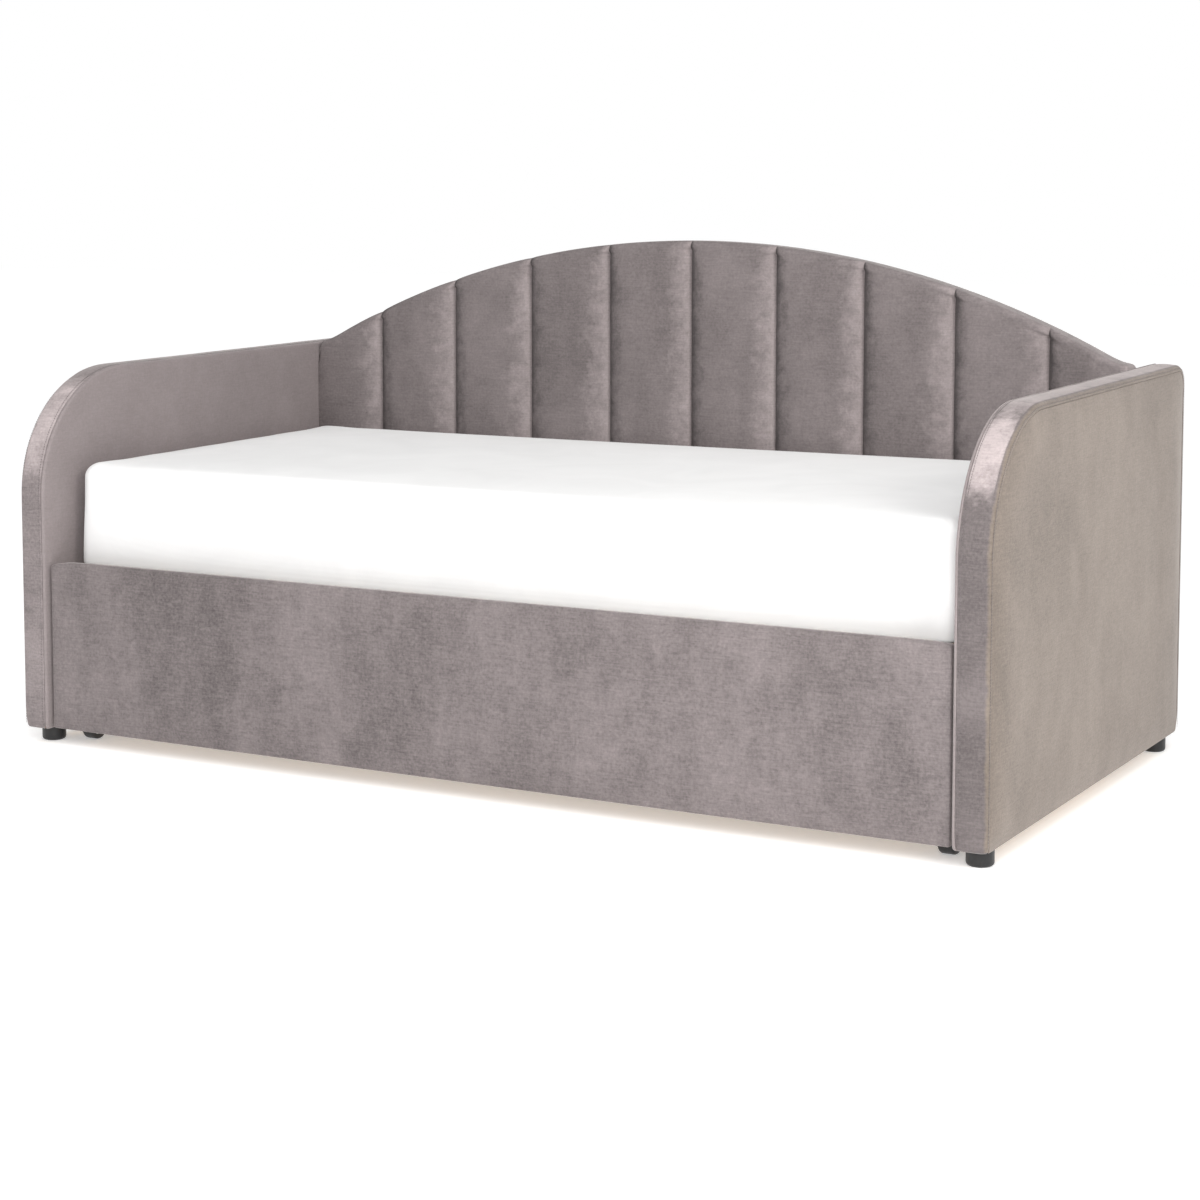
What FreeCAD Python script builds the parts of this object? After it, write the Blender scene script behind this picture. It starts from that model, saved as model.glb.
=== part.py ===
import FreeCAD, Part
import math
import os

# Trundle daybed.  Millimetres, +Z up, origin on the floor under the middle of
# the bed.  +X runs along the bed, -Y is the open front, +Y is the back.

# ---- overall sizes ---------------------------------------------------------
overall_length = 2150.0
overall_depth = 1155.0
foot_height = 32.0

# ---- arms ------------------------------------------------------------------
arm_thickness = 65.0
arm_front_height = 785.0       # top line carried on to the arm's front
arm_rear_height = 807.0
arm_front_radius = 262.0
arm_rear_radius = 45.0
arm_bottom_radius = 6.0
arm_cover_thickness = 16.0
arm_band_thickness = 8.0
arm_top_rail_height = 60.0
arm_bottom_rail_height = 45.0

# ---- feet ------------------------------------------------------------------
foot_diameter = 50.0
foot_edge_radius = 7.0
foot_front_setback = 57.0
foot_rear_setback = 69.0
foot_stud_diameter = 8.0
foot_stud_length = 30.0

# ---- back ------------------------------------------------------------------
back_peak_height = 1057.0
back_shoulder_height = 810.0
back_flare_radius = 135.0
back_bottom_height = 35.0
back_rear_setback = 100.0      # from the rear cover to the arm's rear
back_timber_depth = 25.0
back_band_thickness = 20.0
back_end_gap = 1.0
back_pad_depth = 38.0
back_pad_crown = 22.0
back_board_thickness = 12.0
back_rear_cover_thickness = 5.0
back_stile_width = 45.0
back_lower_rail_height = 95.0
channel_count = 10
end_channel_share = 0.85       # an end channel's width over a middle one's
channel_deck_gap = 3.0

# ---- bed frame -------------------------------------------------------------
deck_height = 365.0
rail_height = 60.0
rail_width = 28.0
rail_wall = 2.0
front_rail_setback = 60.0
rail_end_gap = 0.5
bed_slat_count = 13
bed_slat_width = 68.0
bed_slat_thickness = 12.0
bed_slat_end_gap = 16.0          # from a slat's end to the rail's outer face
bracket_leg = 60.0
bracket_height = 40.0
bracket_thickness = 3.0

# ---- mattress and sheet ----------------------------------------------------
mattress_end_gap = 10.0
mattress_front_setback = 74.0
mattress_top_height = 596.0
mattress_top_radius = 30.0
mattress_bottom_radius = 12.0
mattress_corner_radius = 60.0
mattress_back_gap = 1.0
sheet_thickness = 1.5
sheet_hem_width = 60.0

# ---- bolts -----------------------------------------------------------------
bolt_diameter = 8.0
bolt_hole_clearance = 0.5
bolt_head_across = 13.0
bolt_head_height = 5.5
bolt_depth_in_post = 25.0
bolt_edge_distance = 25.0      # from a post's or timber's edge

# ---- trundle ---------------------------------------------------------------
panel_recess = 10.0
panel_side_gap = 5.0
panel_bottom_height = 35.0
panel_top_height = 391.0
panel_thickness = 30.0
panel_edge_radius = 8.0
panel_padding = 12.0
trundle_rear_gap = 123.0       # from the rear rail to the back's board
trundle_side_rail_width = 45.0
trundle_side_rail_height = 100.0
trundle_cross_rail_width = 35.0
trundle_cross_rail_height = 48.0
trundle_slat_count = 13
trundle_slat_width = 68.0
trundle_slat_thickness = 12.0
trundle_slat_end_gap = 2.0
screw_diameter = 5.0
screw_head_diameter = 10.0
screw_head_height = 3.0
screw_depth_in_board = 12.0
screw_count = 6

# ---- casters ---------------------------------------------------------------
wheel_diameter = 48.0
wheel_width = 34.0
wheel_edge_radius = 7.0
wheel_side_clearance = 1.0
wheel_plate_clearance = 11.0
wheel_side_setback = 40.0      # wheel's middle to the arm's inner face
wheel_front_setback = 102.0    # front wheels' axis to the arm's front
wheel_rear_setback = 60.0      # rear wheels' axis to the trundle's rear
axle_diameter = 8.0
axle_running_clearance = 0.05
fork_plate_length = 66.0
fork_sheet = 3.0
fork_cheek_length = 30.0
fork_cheek_below_axle = 10.0

# ---- worked out from the sizes above ---------------------------------------
front = -overall_depth / 2
rear = overall_depth / 2
half_length = overall_length / 2
clear_half = half_length - arm_thickness
back_rear = rear - back_rear_setback
timber_rear = back_rear - back_rear_cover_thickness
timber_front = timber_rear - back_timber_depth
board_front = timber_front - back_board_thickness
back_front = board_front - back_pad_depth
back_half = clear_half - back_end_gap
channel_pitch = 2 * back_half / (channel_count - 2 + 2 * end_channel_share)
slat_top = deck_height + bed_slat_thickness
panel_front = front + panel_recess
panel_rear = panel_front + panel_thickness
trundle_rear = board_front - trundle_rear_gap
rail_front = front + front_rail_setback
rail_rear = board_front - rail_end_gap
rail_inner = clear_half - rail_end_gap - rail_width
front_bolt_y = rail_front + rail_width + bracket_leg / 2
rear_bolt_y = rail_rear - rail_width - bracket_leg / 2
wheel_radius = wheel_diameter / 2
fork_top = wheel_diameter + wheel_plate_clearance + fork_sheet
wheel_x = clear_half - wheel_side_setback
side_rail_inner = wheel_x - trundle_side_rail_width / 2

SIDES = {"left": -1, "right": 1}


def box(x0, x1, y0, y1, z0, z1):
    """A block between two opposite corners, given in any order."""
    low = FreeCAD.Vector(min(x0, x1), min(y0, y1), min(z0, z1))
    return Part.makeBox(abs(x1 - x0), abs(y1 - y0), abs(z1 - z0), low)


def cylinder(radius, length, start, direction):
    """A round bar that begins at start and runs along direction."""
    return Part.makeCylinder(radius, length, FreeCAD.Vector(*start), FreeCAD.Vector(*direction))


def save(shape, node):
    """Write one sub-part."""
    shape.exportStep("parts/%s.step" % node)


def rounded_face(corners, place):
    """A flat face whose corners (a, b, radius) are rounded; place maps (a, b) to space."""
    edges = []
    ends = []
    count = len(corners)
    for i in range(count):
        a, b, radius = corners[i]
        before = corners[i - 1]
        after = corners[(i + 1) % count]
        into = unit(before[0] - a, before[1] - b)
        out = unit(after[0] - a, after[1] - b)
        half_angle = math.acos(into[0] * out[0] + into[1] * out[1]) / 2
        reach = radius / math.tan(half_angle)
        middle = unit(into[0] + out[0], into[1] + out[1])
        inward = radius / math.sin(half_angle) - radius
        start = (a + into[0] * reach, b + into[1] * reach)
        crown = (a + middle[0] * inward, b + middle[1] * inward)
        finish = (a + out[0] * reach, b + out[1] * reach)
        ends.append((start, crown, finish))
    for i in range(count):
        start, crown, finish = ends[i]
        onward = ends[(i + 1) % count][0]
        edges.append(Part.Arc(place(*start), place(*crown), place(*finish)).toShape())
        edges.append(Part.LineSegment(place(*finish), place(*onward)).toShape())
    return Part.Face(Part.Wire(edges))


def unit(a, b):
    """The direction (a, b) at length one."""
    length = math.hypot(a, b)
    return (a / length, b / length)


# ---- arms ------------------------------------------------------------------

def arm_slab(x0, x1, inset):
    """The arm's outline, drawn in by inset, between two places along X."""
    x_low = min(x0, x1)
    rise = (arm_rear_height - arm_front_height) / overall_depth
    low_y = front + inset
    high_y = rear - inset
    base = foot_height
    front_top = arm_front_height - inset + rise * inset
    rear_top = arm_rear_height - inset - rise * inset
    corners = [
        (low_y, base, arm_bottom_radius),
        (low_y, front_top, arm_front_radius - inset),
        (high_y, rear_top, arm_rear_radius - inset),
        (high_y, base, arm_bottom_radius),
    ]
    face = rounded_face(corners, lambda y, z: FreeCAD.Vector(x_low, y, z))
    return face.extrude(FreeCAD.Vector(abs(x1 - x0), 0, 0))


def arm_pieces(side, sign, bolts):
    """One padded arm: four timbers, two face covers and the band round the edge."""
    inner = sign * clear_half
    outer = sign * half_length
    core_inner = inner + sign * arm_cover_thickness
    core_outer = outer - sign * arm_cover_thickness
    timber = arm_slab(core_inner, core_outer, arm_band_thickness)
    post_top = arm_rear_height
    post_base = foot_height + arm_bottom_rail_height
    split = front_bolt_y + bolt_edge_distance
    rear_split = rear_bolt_y - bolt_edge_distance
    rail_base = arm_front_height - arm_top_rail_height
    studs = foot_studs()
    front_post = timber.common(box(core_inner, core_outer, front, split, post_base, post_top))
    rear_post = timber.common(box(core_inner, core_outer, rear_split, rear, post_base, post_top))
    top_rail = timber.common(box(core_inner, core_outer, split, rear_split, rail_base, post_top))
    bottom_rail = timber.common(box(core_inner, core_outer, front, rear, 0, post_base))
    band = arm_slab(core_inner, core_outer, 0).cut(timber)
    inner_cover = arm_slab(inner, core_inner, 0)
    save(front_post.cut(bolts), side + "_arm_front_post")
    save(rear_post.cut(bolts), side + "_arm_rear_post")
    save(top_rail, side + "_arm_top_rail")
    save(bottom_rail.cut(studs), side + "_arm_bottom_rail")
    save(inner_cover.cut(bolts), side + "_arm_inner_cover")
    save(arm_slab(core_outer, outer, 0), side + "_arm_outer_cover")
    save(band, side + "_arm_edge_band")


# ---- feet ------------------------------------------------------------------

def foot_places():
    """Each foot's name and its centre."""
    middle = half_length - arm_thickness / 2
    rows = {"front": front + foot_front_setback, "rear": rear - foot_rear_setback}
    places = {}
    for row, y in rows.items():
        for side, sign in SIDES.items():
            places["%s_%s_foot" % (row, side)] = (sign * middle, y)
    return places


def foot_stud(x, y):
    """The threaded stud that stands up out of a foot."""
    return cylinder(foot_stud_diameter / 2, foot_stud_length, (x, y, foot_height), (0, 0, 1))


def foot_studs():
    """All four studs."""
    return Part.makeCompound([foot_stud(x, y) for x, y in foot_places().values()])


def feet():
    """Round moulded feet, each with its stud."""
    for node, (x, y) in foot_places().items():
        puck = cylinder(foot_diameter / 2, foot_height, (x, y, 0), (0, 0, 1))
        rim = [edge for edge in puck.Edges if edge.BoundBox.ZMax < foot_height / 2 and is_circle(edge)]
        puck = puck.makeFillet(foot_edge_radius, rim)
        save(puck.fuse(foot_stud(x, y)), node)


def is_circle(edge):
    """True for a round edge."""
    return isinstance(edge.Curve, Part.Circle)


# ---- back ------------------------------------------------------------------

def arch_block(inset, base, y0, y1):
    """The back's outline, its arch lowered by inset, between two places along Y."""
    half = back_half
    rise = back_peak_height - back_shoulder_height
    crown_radius = (half ** 2 + rise ** 2) / (2 * rise) - back_flare_radius
    crown_z = back_peak_height - crown_radius
    flare_z = back_shoulder_height + back_flare_radius
    turn = math.atan2(half, flare_z - crown_z)
    crown = crown_radius - inset
    flare = back_flare_radius + inset

    def at(x, z):
        return FreeCAD.Vector(x, y0, z)

    def on_crown(angle):
        return at(crown * math.sin(angle), crown_z + crown * math.cos(angle))

    def on_flare(side, angle):
        return at(side * (half - flare * math.sin(angle)), flare_z - flare * math.cos(angle))

    edges = [
        Part.LineSegment(at(-half, base), at(-half, flare_z - flare)).toShape(),
        Part.Arc(on_flare(-1, 0), on_flare(-1, turn / 2), on_flare(-1, turn)).toShape(),
        Part.Arc(on_crown(-turn), on_crown(0), on_crown(turn)).toShape(),
        Part.Arc(on_flare(1, turn), on_flare(1, turn / 2), on_flare(1, 0)).toShape(),
        Part.LineSegment(at(half, flare_z - flare), at(half, base)).toShape(),
        Part.LineSegment(at(half, base), at(-half, base)).toShape(),
    ]
    face = Part.Face(Part.Wire(edges))
    return face.extrude(FreeCAD.Vector(0, y1 - y0, 0))


def channel_pad(index):
    """One upright pad of the channelled front, crowned across its width."""
    first = index - channel_count / 2
    x0 = max(-back_half, first * channel_pitch)
    x1 = min(back_half, (first + 1) * channel_pitch)
    base = slat_top + channel_deck_gap
    seam = back_front + back_pad_crown

    def at(x, y):
        return FreeCAD.Vector(x, y, base)

    edges = [
        Part.Arc(at(x0, seam), at((x0 + x1) / 2, back_front), at(x1, seam)).toShape(),
        Part.LineSegment(at(x1, seam), at(x1, board_front)).toShape(),
        Part.LineSegment(at(x1, board_front), at(x0, board_front)).toShape(),
        Part.LineSegment(at(x0, board_front), at(x0, seam)).toShape(),
    ]
    column = Part.Face(Part.Wire(edges)).extrude(FreeCAD.Vector(0, 0, back_peak_height - base))
    return column.common(arch_block(back_band_thickness, base, back_front, board_front))


def back_pieces(bolts):
    """The arched back: board, timbers, rear cover, top band and ten pads."""
    half = back_half
    inner = half - back_stile_width
    rail_top = back_bottom_height + back_lower_rail_height
    base = back_bottom_height
    board = arch_block(back_band_thickness, base, board_front, timber_front)
    timber = arch_block(back_band_thickness, base, timber_front, timber_rear)
    for side, sign in SIDES.items():
        post = box(sign * inner, sign * half, timber_front, timber_rear, 0, back_peak_height)
        save(timber.common(post).cut(bolts), "back_%s_stile" % side)
    save(box(-inner, inner, timber_front, timber_rear, base, rail_top), "back_lower_rail")
    save(board, "back_front_board")
    save(arch_block(0, base, timber_rear, back_rear), "back_rear_cover")
    band_front = back_front + back_pad_crown
    band = arch_block(0, base, band_front, timber_rear)
    band = band.cut(arch_block(back_band_thickness, base, band_front, timber_rear))
    save(band, "back_top_band")
    for index in range(channel_count):
        save(channel_pad(index), "back_channel_%02d" % (index + 1))


# ---- bed frame -------------------------------------------------------------

def tube(x0, x1, y0, y1, along):
    """A box-section rail under the deck; along names its open direction."""
    low = deck_height - rail_height
    outside = box(x0, x1, y0, y1, low, deck_height)
    wall = rail_wall
    bore_low = low + wall
    bore_high = deck_height - wall
    x_low, x_high = min(x0, x1), max(x0, x1)
    if along == "x":
        return outside.cut(box(x_low, x_high, y0 + wall, y1 - wall, bore_low, bore_high))
    return outside.cut(box(x_low + wall, x_high - wall, y0, y1, bore_low, bore_high))


def bed_frame(bolts, bolt_holes):
    """Four black rails, their corner brackets and the slats."""
    y0 = rail_front
    y1 = rail_rear
    rail_outer = rail_inner + rail_width
    save(tube(-rail_inner, rail_inner, y0, y0 + rail_width, "x"), "front_rail")
    save(tube(-rail_inner, rail_inner, y1 - rail_width, y1, "x"), "rear_rail")
    for side, sign in SIDES.items():
        rail = tube(sign * rail_inner, sign * rail_outer, y0, y1, "y")
        save(rail.cut(bolt_holes), side + "_end_rail")
    brackets = []
    for sign in SIDES.values():
        x = sign * rail_inner
        for y, turn in ((y0 + rail_width, 1), (y1 - rail_width, -1)):
            top = deck_height - (rail_height - bracket_height) / 2
            low = top - bracket_height
            leg_x = box(x, x - sign * bracket_leg, y, y + turn * bracket_thickness, low, top)
            leg_y = box(x, x - sign * bracket_thickness, y, y + turn * bracket_leg, low, top)
            brackets.append(leg_x.fuse(leg_y).removeSplitter().cut(bolt_holes))
    save(Part.makeCompound(brackets), "rail_brackets")
    slat_set = slats(
        bed_slat_count, bed_slat_width, 2 * rail_inner,
        y0 + bed_slat_end_gap, y1 - bed_slat_end_gap, deck_height, bed_slat_thickness)
    save(slat_set, "bed_slats")


def slats(count, width, span, y0, y1, base, thickness):
    """Evenly spaced flat slats that run from front to back."""
    pitch = span / count
    pieces = []
    for i in range(count):
        x = -span / 2 + pitch * (i + 0.5)
        pieces.append(box(x - width / 2, x + width / 2, y0, y1, base, base + thickness))
    return Part.makeCompound(pieces)


def bolt(x, y, z, sign, grip):
    """A hex-head bolt along X whose head bears at x and whose shank runs outwards."""
    shank = cylinder(bolt_diameter / 2, grip, (x, y, z), (sign, 0, 0))
    corner = bolt_head_across / math.sqrt(3)
    points = []
    for i in range(7):
        angle = math.radians(60 * i)
        points.append(FreeCAD.Vector(x, y + corner * math.cos(angle), z + corner * math.sin(angle)))
    head = Part.Face(Part.makePolygon(points)).extrude(FreeCAD.Vector(-sign * bolt_head_height, 0, 0))
    return shank.fuse(head)


def bolt_places():
    """Where each bolt's head bears, with its height, its side and its grip."""
    rail_face = rail_inner - bracket_thickness
    stile_face = back_half - back_stile_width
    rail_z = deck_height - rail_height / 2
    timber_y = (timber_front + timber_rear) / 2
    reach = clear_half + arm_cover_thickness + bolt_depth_in_post
    low_z = back_bottom_height + back_lower_rail_height + bolt_edge_distance
    high_z = back_shoulder_height - arm_top_rail_height - bolt_edge_distance
    places = []
    for sign in SIDES.values():
        for y in (front_bolt_y, rear_bolt_y):
            places.append((sign * rail_face, y, rail_z, sign, reach - rail_face))
        for z in (low_z, high_z):
            places.append((sign * stile_face, timber_y, z, sign, reach - stile_face))
    return places


# ---- mattress and sheet ----------------------------------------------------

def rounded_block(x_half, y0, y1, z0, z1, corner, top_radius, bottom_radius):
    """A block with rounded upright corners, a soft top edge and a tighter bottom edge."""
    block = box(-x_half, x_half, y0, y1, z0, z1)
    middle = (z0 + z1) / 2
    upright = [e for e in block.Edges if e.BoundBox.ZLength > (z1 - z0) / 2]
    block = block.makeFillet(corner, upright)
    block = block.makeFillet(top_radius, [e for e in block.Edges if e.BoundBox.ZMin > middle])
    return block.makeFillet(bottom_radius, [e for e in block.Edges if e.BoundBox.ZMax < middle])


def bedding():
    """The mattress and the fitted sheet that is stretched over it."""
    y0 = front + mattress_front_setback
    y1 = back_front - mattress_back_gap
    half = clear_half - mattress_end_gap
    t = sheet_thickness
    outside = rounded_block(
        half, y0, y1, slat_top, mattress_top_height,
        mattress_corner_radius, mattress_top_radius, mattress_bottom_radius)
    core = rounded_block(
        half - t, y0 + t, y1 - t, slat_top + t, mattress_top_height - t,
        mattress_corner_radius - t, mattress_top_radius - t, mattress_bottom_radius - t)
    hem = sheet_hem_width
    hole = box(-half + hem, half - hem, y0 + hem, y1 - hem, slat_top, slat_top + t)
    save(core, "mattress")
    save(outside.cut(core).cut(hole), "fitted_sheet")


# ---- trundle ---------------------------------------------------------------

def trundle_front(screws):
    """The padded front panel: a board and the cover stretched round its front."""
    half = clear_half - panel_side_gap
    block = box(-half, half, panel_front, panel_rear, panel_bottom_height, panel_top_height)
    near = [e for e in block.Edges if e.BoundBox.YMax < panel_front + 1e-3]
    block = block.makeFillet(panel_edge_radius, near)
    pad = panel_padding
    board = box(
        -half + pad, half - pad, panel_front + pad, panel_rear,
        panel_bottom_height + pad, panel_top_height - pad)
    save(block.cut(board), "trundle_front_cover")
    save(board.cut(screws), "trundle_front_board")


def screw_set():
    """Wood screws that hold the panel to the front cross rail."""
    y = panel_rear + trundle_cross_rail_width
    z = fork_top + trundle_cross_rail_height / 2
    grip = trundle_cross_rail_width + screw_depth_in_board
    pitch = 2 * side_rail_inner / screw_count
    pieces = []
    for i in range(screw_count):
        x = -side_rail_inner + pitch * (i + 0.5)
        shank = cylinder(screw_diameter / 2, grip, (x, y, z), (0, -1, 0))
        head = cylinder(screw_head_diameter / 2, screw_head_height, (x, y, z), (0, 1, 0))
        pieces.append(shank.fuse(head))
    return Part.makeCompound(pieces)


def trundle_frame(screws):
    """Side rails, cross rails and slats of the pull-out."""
    low = fork_top
    cross_top = low + trundle_cross_rail_height
    inner = side_rail_inner
    outer = inner + trundle_side_rail_width
    side_top = low + trundle_side_rail_height
    for side, sign in SIDES.items():
        rail = box(sign * inner, sign * outer, panel_rear, trundle_rear, low, side_top)
        save(rail, "trundle_%s_rail" % side)
    front_end = panel_rear + trundle_cross_rail_width
    rear_start = trundle_rear - trundle_cross_rail_width
    save(box(-inner, inner, panel_rear, front_end, low, cross_top).cut(screws), "trundle_front_rail")
    save(box(-inner, inner, rear_start, trundle_rear, low, cross_top), "trundle_rear_rail")
    y0 = panel_rear + trundle_slat_end_gap
    y1 = trundle_rear - trundle_slat_end_gap
    span = 2 * inner
    slat_set = slats(trundle_slat_count, trundle_slat_width, span, y0, y1, cross_top, trundle_slat_thickness)
    save(slat_set, "trundle_slats")


def caster_places():
    """Each caster's name and its wheel's middle."""
    rows = {"front": front + wheel_front_setback, "rear": trundle_rear - wheel_rear_setback}
    places = {}
    for row, y in rows.items():
        for side, sign in SIDES.items():
            places["%s_%s" % (row, side)] = (sign * wheel_x, y)
    return places


def casters():
    """Fixed casters: a folded fork, an axle and a wheel that turns on it."""
    cheek_gap = wheel_width / 2 + wheel_side_clearance
    half_fork = cheek_gap + fork_sheet
    plate_low = fork_top - fork_sheet
    axles = []
    for name, (x, y) in caster_places().items():
        axle = cylinder(axle_diameter / 2, 2 * half_fork, (x - half_fork, y, wheel_radius), (1, 0, 0))
        axles.append(axle)
        half_plate = fork_plate_length / 2
        half_cheek = fork_cheek_length / 2
        cheek_low = wheel_radius - fork_cheek_below_axle
        fork = box(x - half_fork, x + half_fork, y - half_plate, y + half_plate, plate_low, fork_top)
        for sign in SIDES.values():
            inner = x + sign * cheek_gap
            outer = x + sign * half_fork
            cheek = box(inner, outer, y - half_cheek, y + half_cheek, cheek_low, plate_low)
            fork = fork.fuse(cheek)
        save(fork.removeSplitter().cut(axle), name + "_caster_fork")
        wheel = cylinder(wheel_radius, wheel_width, (x - wheel_width / 2, y, wheel_radius), (1, 0, 0))
        rims = [e for e in wheel.Edges if is_circle(e)]
        wheel = wheel.makeFillet(wheel_edge_radius, rims)
        bore_radius = axle_diameter / 2 + axle_running_clearance
        bore = cylinder(bore_radius, wheel_width, (x - wheel_width / 2, y, wheel_radius), (1, 0, 0))
        save(wheel.cut(bore), name + "_wheel")
    save(Part.makeCompound(axles), "caster_axles")


def build():
    """Write every sub-part."""
    os.makedirs("parts", exist_ok=True)
    places = bolt_places()
    bolts = Part.makeCompound([bolt(*place) for place in places])
    hole = bolt_diameter / 2 + bolt_hole_clearance
    holes = [cylinder(hole, grip, (x, y, z), (sign, 0, 0)) for x, y, z, sign, grip in places]
    save(bolts, "frame_bolts")
    for side, sign in SIDES.items():
        arm_pieces(side, sign, bolts)
    feet()
    back_pieces(bolts)
    bed_frame(bolts, Part.makeCompound(holes))
    bedding()
    screws = screw_set()
    save(screws, "trundle_screws")
    trundle_front(screws)
    trundle_frame(screws)
    casters()


build()
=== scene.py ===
import math

import bpy
import numpy as np
from bpy.props import FloatProperty, FloatVectorProperty, IntProperty, PointerProperty
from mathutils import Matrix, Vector, noise


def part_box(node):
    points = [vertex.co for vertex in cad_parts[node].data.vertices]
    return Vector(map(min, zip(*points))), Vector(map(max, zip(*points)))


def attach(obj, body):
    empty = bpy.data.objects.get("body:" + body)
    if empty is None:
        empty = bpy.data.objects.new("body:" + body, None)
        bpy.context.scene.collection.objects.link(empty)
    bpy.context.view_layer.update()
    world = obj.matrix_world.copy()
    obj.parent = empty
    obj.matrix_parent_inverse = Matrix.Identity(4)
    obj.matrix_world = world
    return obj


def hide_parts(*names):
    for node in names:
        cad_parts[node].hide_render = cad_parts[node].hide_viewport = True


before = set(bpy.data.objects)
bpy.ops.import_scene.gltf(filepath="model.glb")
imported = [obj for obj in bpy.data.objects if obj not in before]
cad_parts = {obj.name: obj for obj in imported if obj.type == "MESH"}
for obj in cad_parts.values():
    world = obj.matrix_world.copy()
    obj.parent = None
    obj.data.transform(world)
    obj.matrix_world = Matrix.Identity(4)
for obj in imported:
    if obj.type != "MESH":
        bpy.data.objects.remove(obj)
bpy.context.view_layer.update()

bl_info = {
    "name": "Trundle daybed upholstery",
    "version": (1, 0, 0),
    "blender": (4, 5, 0),
    "location": "View3D > Sidebar > Daybed",
    "description": "Velvet arms, channelled back, trundle front and bedding for a daybed frame",
    "category": "Object",
}

SIDES = {"left": -1, "right": 1}
ROWS = ("front", "rear")
CHANNELS = ["back_channel_%02d" % number for number in range(1, 11)]
SEAM_SET = 0.001      # how far a seam lies behind its rim
SEAM_DRAW = 0.0013    # how far a seam is drawn in
PAD_GRID = 0.028      # grid that an arm's pads are cut to for the cloth
COVER_GRID = 0.03     # grid that the bands and the trundle's front are cut to
MATTRESS_GRID = 0.045
STITCH_LENGTH = 0.0034
STITCH_RADIUS = 0.0005
COVER_THICKNESS = 0.004   # of the back's channelled cover
ROLL_RADIUS = 0.015       # of the back's top edge, at the front
REAR_ROLL_RADIUS = 0.011  # of the same edge, at the rear
SHEET_HEM = 0.06          # how far the fitted sheet reaches under the mattress
SHEEN = 0.42              # of the velvet


class DaybedSizes(bpy.types.PropertyGroup):
    """Sizes a maker would change, in metres."""

    arm_rise: FloatProperty(
        name="Arm rise", description="How much higher an arm is at the rear", default=0.022, unit="LENGTH")
    arm_front_radius: FloatProperty(
        name="Front radius", description="Radius of the arm's front top corner", default=0.262, unit="LENGTH")
    arm_rear_radius: FloatProperty(
        name="Rear radius", description="Radius of the arm's rear top corner", default=0.045, unit="LENGTH")
    inner_seam: FloatProperty(
        name="Inner seam", description="From the arm's inner face to the seam of its band", default=0.007,
        unit="LENGTH")
    outer_seam: FloatProperty(
        name="Outer seam", description="From the arm's edge to the seam on its outer face", default=0.013,
        unit="LENGTH")
    band_corner_radius: FloatProperty(
        name="Band corner", description="Radius of the band where it turns onto the outer face",
        default=0.010, unit="LENGTH")
    stitch_set_in: FloatProperty(
        name="Stitch set-in", description="From a seam to its row of stitches", default=0.0055, unit="LENGTH")
    stitch_pitch: FloatProperty(
        name="Stitch pitch", description="From one stitch to the next", default=0.0055, unit="LENGTH")
    flare_radius: FloatProperty(
        name="Flare radius", description="Radius where the back's arch runs out into the arms", default=0.115,
        unit="LENGTH")
    seam_depth: FloatProperty(
        name="Seam depth", description="How deep the back's seams are pulled in", default=0.025,
        unit="LENGTH")
    seam_stop: FloatProperty(
        name="Seam stop", description="Where a seam ends below the back's top edge", default=0.005,
        unit="LENGTH")
    mattress_rear_rise: FloatProperty(
        name="Mattress rear rise", description="How much higher the mattress lies at the rear", default=0.012,
        unit="LENGTH")
    cloth_frames: IntProperty(
        name="Cloth frames", description="Frames that the padded fabric is blown up for", default=20)


class DaybedColours(bpy.types.PropertyGroup):
    """Colours of the finishes, as linear values."""

    velvet: FloatVectorProperty(
        name="Velvet", description="Velvet, pile laid down", subtype="COLOR", default=(0.198, 0.171, 0.171))
    velvet_sheen: FloatVectorProperty(
        name="Velvet sheen", description="Light caught by the pile", subtype="COLOR",
        default=(0.95, 0.90, 0.88))
    sheet: FloatVectorProperty(
        name="Sheet", description="Cotton sheet", subtype="COLOR", default=(0.82, 0.82, 0.82))
    steel: FloatVectorProperty(
        name="Steel", description="Powder coat on the rails", subtype="COLOR", default=(0.012, 0.012, 0.013))
    pine: FloatVectorProperty(
        name="Pine", description="Planed softwood", subtype="COLOR", default=(0.60, 0.40, 0.21))
    birch: FloatVectorProperty(
        name="Birch", description="Birch slats", subtype="COLOR", default=(0.72, 0.54, 0.33))
    floor: FloatVectorProperty(
        name="Floor", description="Pale floor", subtype="COLOR", default=(0.93, 0.93, 0.93))


# ---- small helpers ---------------------------------------------------------

def start_alone():
    """Leave edit mode and deselect everything."""
    if bpy.context.mode != "OBJECT":
        bpy.ops.object.mode_set(mode="OBJECT")
    bpy.ops.object.select_all(action="DESELECT")


def make_active(piece):
    """Select one piece and nothing else."""
    start_alone()
    piece.select_set(True)
    bpy.context.view_layer.objects.active = piece


def named(name):
    """Name the piece that was just added and give it clean transforms."""
    piece = bpy.context.active_object
    piece.name = name
    piece.data.name = name
    bpy.ops.object.transform_apply(location=True, rotation=True, scale=True)
    return piece


def pick(piece, kind, test):
    """Select a piece's vertices, edges or faces by their place, then enter edit mode."""
    make_active(piece)
    mesh = piece.data
    kinds = ("VERT", "EDGE", "FACE")
    bpy.context.tool_settings.mesh_select_mode = tuple(kind == k for k in kinds)
    for vertex in mesh.vertices:
        vertex.select = kind == "VERT" and test(vertex.co)
    for edge in mesh.edges:
        ends = [mesh.vertices[i].co for i in edge.vertices]
        edge.select = kind == "EDGE" and test(ends[0], ends[1])
    for face in mesh.polygons:
        face.select = kind == "FACE" and test(face.center, face.normal)
    bpy.ops.object.mode_set(mode="EDIT")


def leave_edit():
    """Back to object mode."""
    bpy.ops.object.mode_set(mode="OBJECT")


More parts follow.
